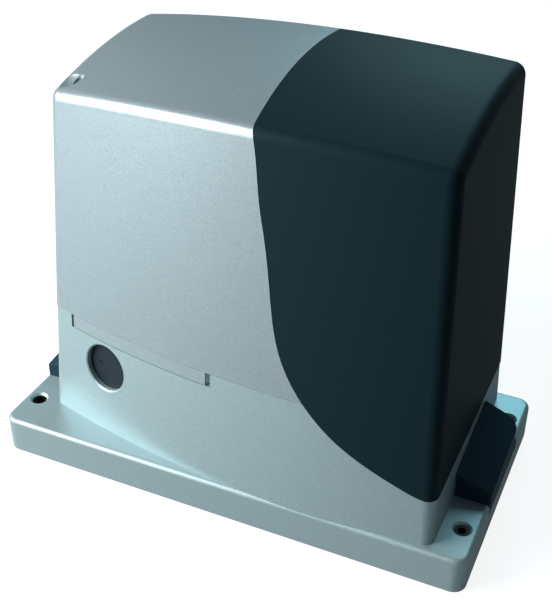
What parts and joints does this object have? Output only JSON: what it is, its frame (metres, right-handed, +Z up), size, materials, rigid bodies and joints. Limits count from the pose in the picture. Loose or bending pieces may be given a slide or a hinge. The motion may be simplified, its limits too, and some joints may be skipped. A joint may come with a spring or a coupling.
{
  "type": "sliding gate motor",
  "caption": "Rack-and-pinion gate opener with a cast foot, a tapered lift-off cover in silver and dark grey, side caps, a key-locked release handle and an output gear at the back.",
  "frame": {"origin": "middle of the foot flange's underside", "axes": "+X along the front to the right, +Y to the gate side where the gear is, +Z up"},
  "size_m": [0.33, 0.1945, 0.279],
  "materials": {
    "cast_base": "die-cast aluminium, satin silver paint",
    "cover_silver": "moulded plastic, satin silver paint",
    "handle_silver": "die-cast lever, satin silver paint",
    "panel_dark": "dark slate moulded plastic, fine texture",
    "cap_black": "black moulded plastic",
    "disc_dark": "dark grey moulded plastic",
    "zinc": "zinc plated steel",
    "set_screw_black": "blackened steel",
    "steel_screw": "zinc plated steel",
    "turned_steel": "turned steel, oiled",
    "pinion_steel": "machined steel gear",
    "bronze": "cast bronze",
    "seal_rubber": "black rubber",
    "lid_aluminium": "machined die-cast aluminium",
    "motor_can_steel": "black painted drawn steel can",
    "motor_cap_plastic": "moulded plastic end cap",
    "fork_steel": "pressed steel",
    "limit_black": "black moulded plastic",
    "spring_steel": "bright spring steel",
    "transformer_wrap": "yellow film wrap over copper",
    "carrier_grey": "grey moulded plastic",
    "board_green": "solder mask on glass laminate",
    "terminal_green": "green moulded plastic",
    "terminal_grey": "light grey moulded plastic",
    "relay_black": "black moulded plastic",
    "capacitor_sleeve": "shrink sleeve over aluminium",
    "card_blue": "blue solder mask"
  },
  "bodies": {
    "base": {"base_casting": "cast_base", "lock_plate": "zinc", "transformer_clamp": "zinc", "level_screw_front_left": "set_screw_black", "level_screw_front_right": "set_screw_black", "level_screw_back_left": "set_screw_black", "level_screw_back_right": "set_screw_black", "lid_screw_1": "steel_screw", "lid_screw_2": "steel_screw", "lid_screw_3": "steel_screw", "lid_screw_4": "steel_screw", "release_pin": "steel_screw", "fork_rod": "steel_screw", "cover_post": "steel_screw", "bearing_front": "turned_steel", "bearing_back": "turned_steel", "worm_bearing": "turned_steel", "oil_seal": "seal_rubber", "cable_gland": "seal_rubber", "gear_lid": "lid_aluminium", "motor_can": "motor_can_steel", "motor_cap": "motor_cap_plastic", "limit_body": "limit_black", "transformer": "transformer_wrap", "board_carrier": "carrier_grey", "control_board": "board_green", "terminal_strip": "terminal_green", "mains_terminal": "terminal_grey", "relay_left": "relay_black", "relay_right": "relay_black", "fuse_holder": "relay_black", "capacitor": "capacitor_sleeve", "receiver_card": "card_blue"},
    "cover": {"cover_shell": "cover_silver", "cover_panel": "panel_dark", "cover_screw": "steel_screw"},
    "cap_right": {"side_cap_right": "cap_black"},
    "cap_left": {"side_cap_left": "cap_black"},
    "release_lever": {"release_handle": "handle_silver"},
    "lock": {"lock_barrel": "zinc", "lock_cam": "zinc", "lock_nut": "zinc"},
    "shutter": {"lock_disc": "disc_dark"},
    "output": {"output_shaft": "turned_steel", "wheel_spacer": "steel_screw", "pinion": "pinion_steel", "pinion_circlip": "steel_screw"},
    "wheel": {"worm_wheel": "bronze"},
    "ring": {"clutch_ring": "turned_steel"},
    "fork": {"shift_fork": "fork_steel"},
    "worm": {"worm_shaft": "turned_steel"},
    "limit": {"limit_lever": "spring_steel"}
  },
  "joints": [
    {"name": "cover_lift", "type": "slide", "parent": "base", "child": "cover", "axis": [0, 0, 1], "range_m": [0, 0.22]},
    {"name": "cap_right_pull", "type": "slide", "parent": "base", "child": "cap_right", "axis": [1, 0, 0], "range_m": [0, 0.035]},
    {"name": "cap_left_pull", "type": "slide", "parent": "base", "child": "cap_left", "axis": [-1, 0, 0], "range_m": [0, 0.035]},
    {"name": "handle_swing", "type": "hinge", "parent": "base", "child": "release_lever", "pos_m": [-0.0134, -0.06826, 0.1], "axis": [0, 0, 1], "range_deg": [0, 90]},
    {"name": "lock_turn", "type": "hinge", "parent": "base", "child": "lock", "pos_m": [-0.0924, -0.06252, 0.075], "axis": [-0.2213, -0.9701, 0.0995], "range_deg": [0, 90]},
    {"name": "disc_slide", "type": "slide", "parent": "base", "child": "shutter", "axis": [0.9749, -0.2224, 0], "range_m": [0, 0.0355]},
    {"name": "gear_turn", "type": "hinge", "parent": "base", "child": "output", "pos_m": [0, 0, 0.062], "axis": [0, 1, 0], "continuous": true},
    {"name": "wheel_turn", "type": "hinge", "parent": "base", "child": "wheel", "pos_m": [0, 0.019, 0.062], "axis": [0, 1, 0], "continuous": true},
    {"name": "worm_turn", "type": "hinge", "parent": "base", "child": "worm", "pos_m": [-0.048, 0.019, 0.062], "axis": [0, 0, 1], "continuous": true},
    {"name": "ring_shift", "type": "slide", "parent": "output", "child": "ring", "axis": [0, -1, 0], "range_m": [0, 0.006]},
    {"name": "fork_shift", "type": "slide", "parent": "base", "child": "fork", "axis": [0, -1, 0], "range_m": [0, 0.006]},
    {"name": "limit_swing", "type": "hinge", "parent": "base", "child": "limit", "pos_m": [0, 0.08, 0.126], "axis": [0, 1, 0], "range_deg": [-25, 25], "stiffness_Nm_per_rad": 0.3}
  ],
  "couplings": [
    {"joint": "ring_shift", "follows": "handle_swing", "m_per_rad": 0.0038197},
    {"joint": "fork_shift", "follows": "handle_swing", "m_per_rad": 0.0038197},
    {"joint": "wheel_turn", "follows": "gear_turn", "ratio": 1},
    {"joint": "worm_turn", "follows": "gear_turn", "ratio": -36}
  ]
}
